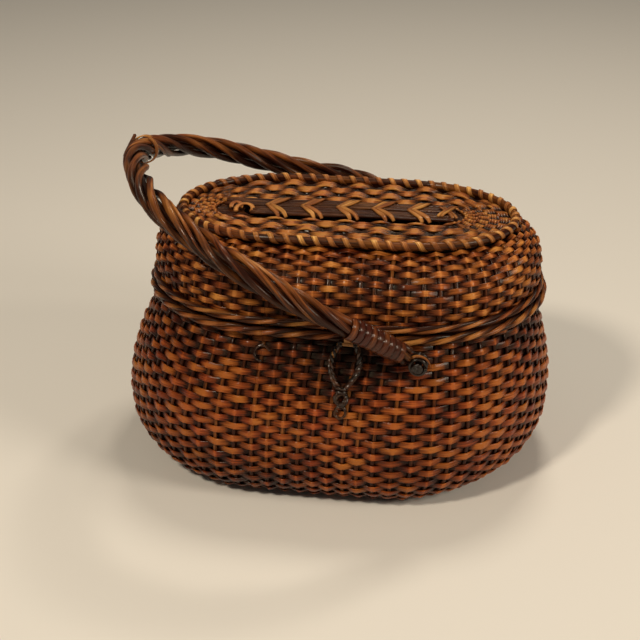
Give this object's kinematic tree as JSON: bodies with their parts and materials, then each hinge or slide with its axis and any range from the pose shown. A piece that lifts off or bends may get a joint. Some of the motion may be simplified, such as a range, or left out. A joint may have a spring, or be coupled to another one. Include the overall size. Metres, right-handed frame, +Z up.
{
  "type": "wicker fishing creel",
  "caption": "Oval woven cane fishing creel with a domed hinged lid, a swinging latch loop, lengthwise slats on top and a carrying handle twisted from vines and bound with splint at both ends",
  "frame": {"origin": "middle of the flat base, on the floor", "axes": "+X to the right along the basket, +Y to the back where the lid is hinged, +Z up; the front with the latch faces -Y"},
  "size_m": [0.2997, 0.2776, 0.2182],
  "materials": {
    "woven_cane": "varnished woven cane",
    "stake_cane": "varnished cane stakes",
    "rim_cane": "varnished cane rod",
    "dark_cane": "dark varnished cane",
    "handle_vine": "varnished vine with bark",
    "light_lashing": "light varnished cane"
  },
  "bodies": {
    "basket": {"basket_wall": "woven_cane", "basket_base": "woven_cane", "base_sticks": "stake_cane", "wall_stakes": "stake_cane", "mouth_border": "rim_cane", "hinge_lugs": "dark_cane", "hinge_rods": "light_lashing", "pivot_peg_front": "dark_cane", "pivot_peg_back": "dark_cane", "side_loop": "light_lashing"},
    "lid": {"lid_wall": "woven_cane", "lid_stakes": "stake_cane", "lid_top_panel": "stake_cane", "lid_rim_rod": "rim_cane", "lid_edge_band": "dark_cane", "lid_edge_rope": "rim_cane", "lid_slat_front": "dark_cane", "lid_slat_back": "dark_cane", "slat_ties": "light_lashing", "slat_cross_tie": "light_lashing", "slat_end_curl": "light_lashing", "latch_anchor": "light_lashing", "hinge_straps": "dark_cane"},
    "latch": {"latch_eyes": "dark_cane", "latch_loop": "dark_cane", "latch_knot": "dark_cane", "latch_tail": "light_lashing"},
    "handle": {"handle_core": "handle_vine", "handle_vine_1": "handle_vine", "handle_vine_2": "handle_vine", "handle_vine_3": "handle_vine", "handle_vine_4": "handle_vine", "handle_vine_5": "handle_vine", "handle_eye_front": "dark_cane", "handle_eye_back": "dark_cane", "binding_front": "handle_vine", "binding_back": "handle_vine", "corner_tie": "light_lashing"}
  },
  "joints": [
    {"name": "lid_hinge", "type": "hinge", "parent": "basket", "child": "lid", "pos_m": [0, 0.1009, 0.11725], "axis": [-1, 0, 0], "range_deg": [0, 30]},
    {"name": "latch_swing", "type": "hinge", "parent": "lid", "child": "latch", "pos_m": [0.0225, -0.10072, 0.11905], "axis": [-1, 0, 0], "range_deg": [0, 85]},
    {"name": "handle_swing", "type": "hinge", "parent": "basket", "child": "handle", "pos_m": [0.0685, 0, 0.1125], "axis": [0, 1, 0], "range_deg": [0, 130]}
  ]
}
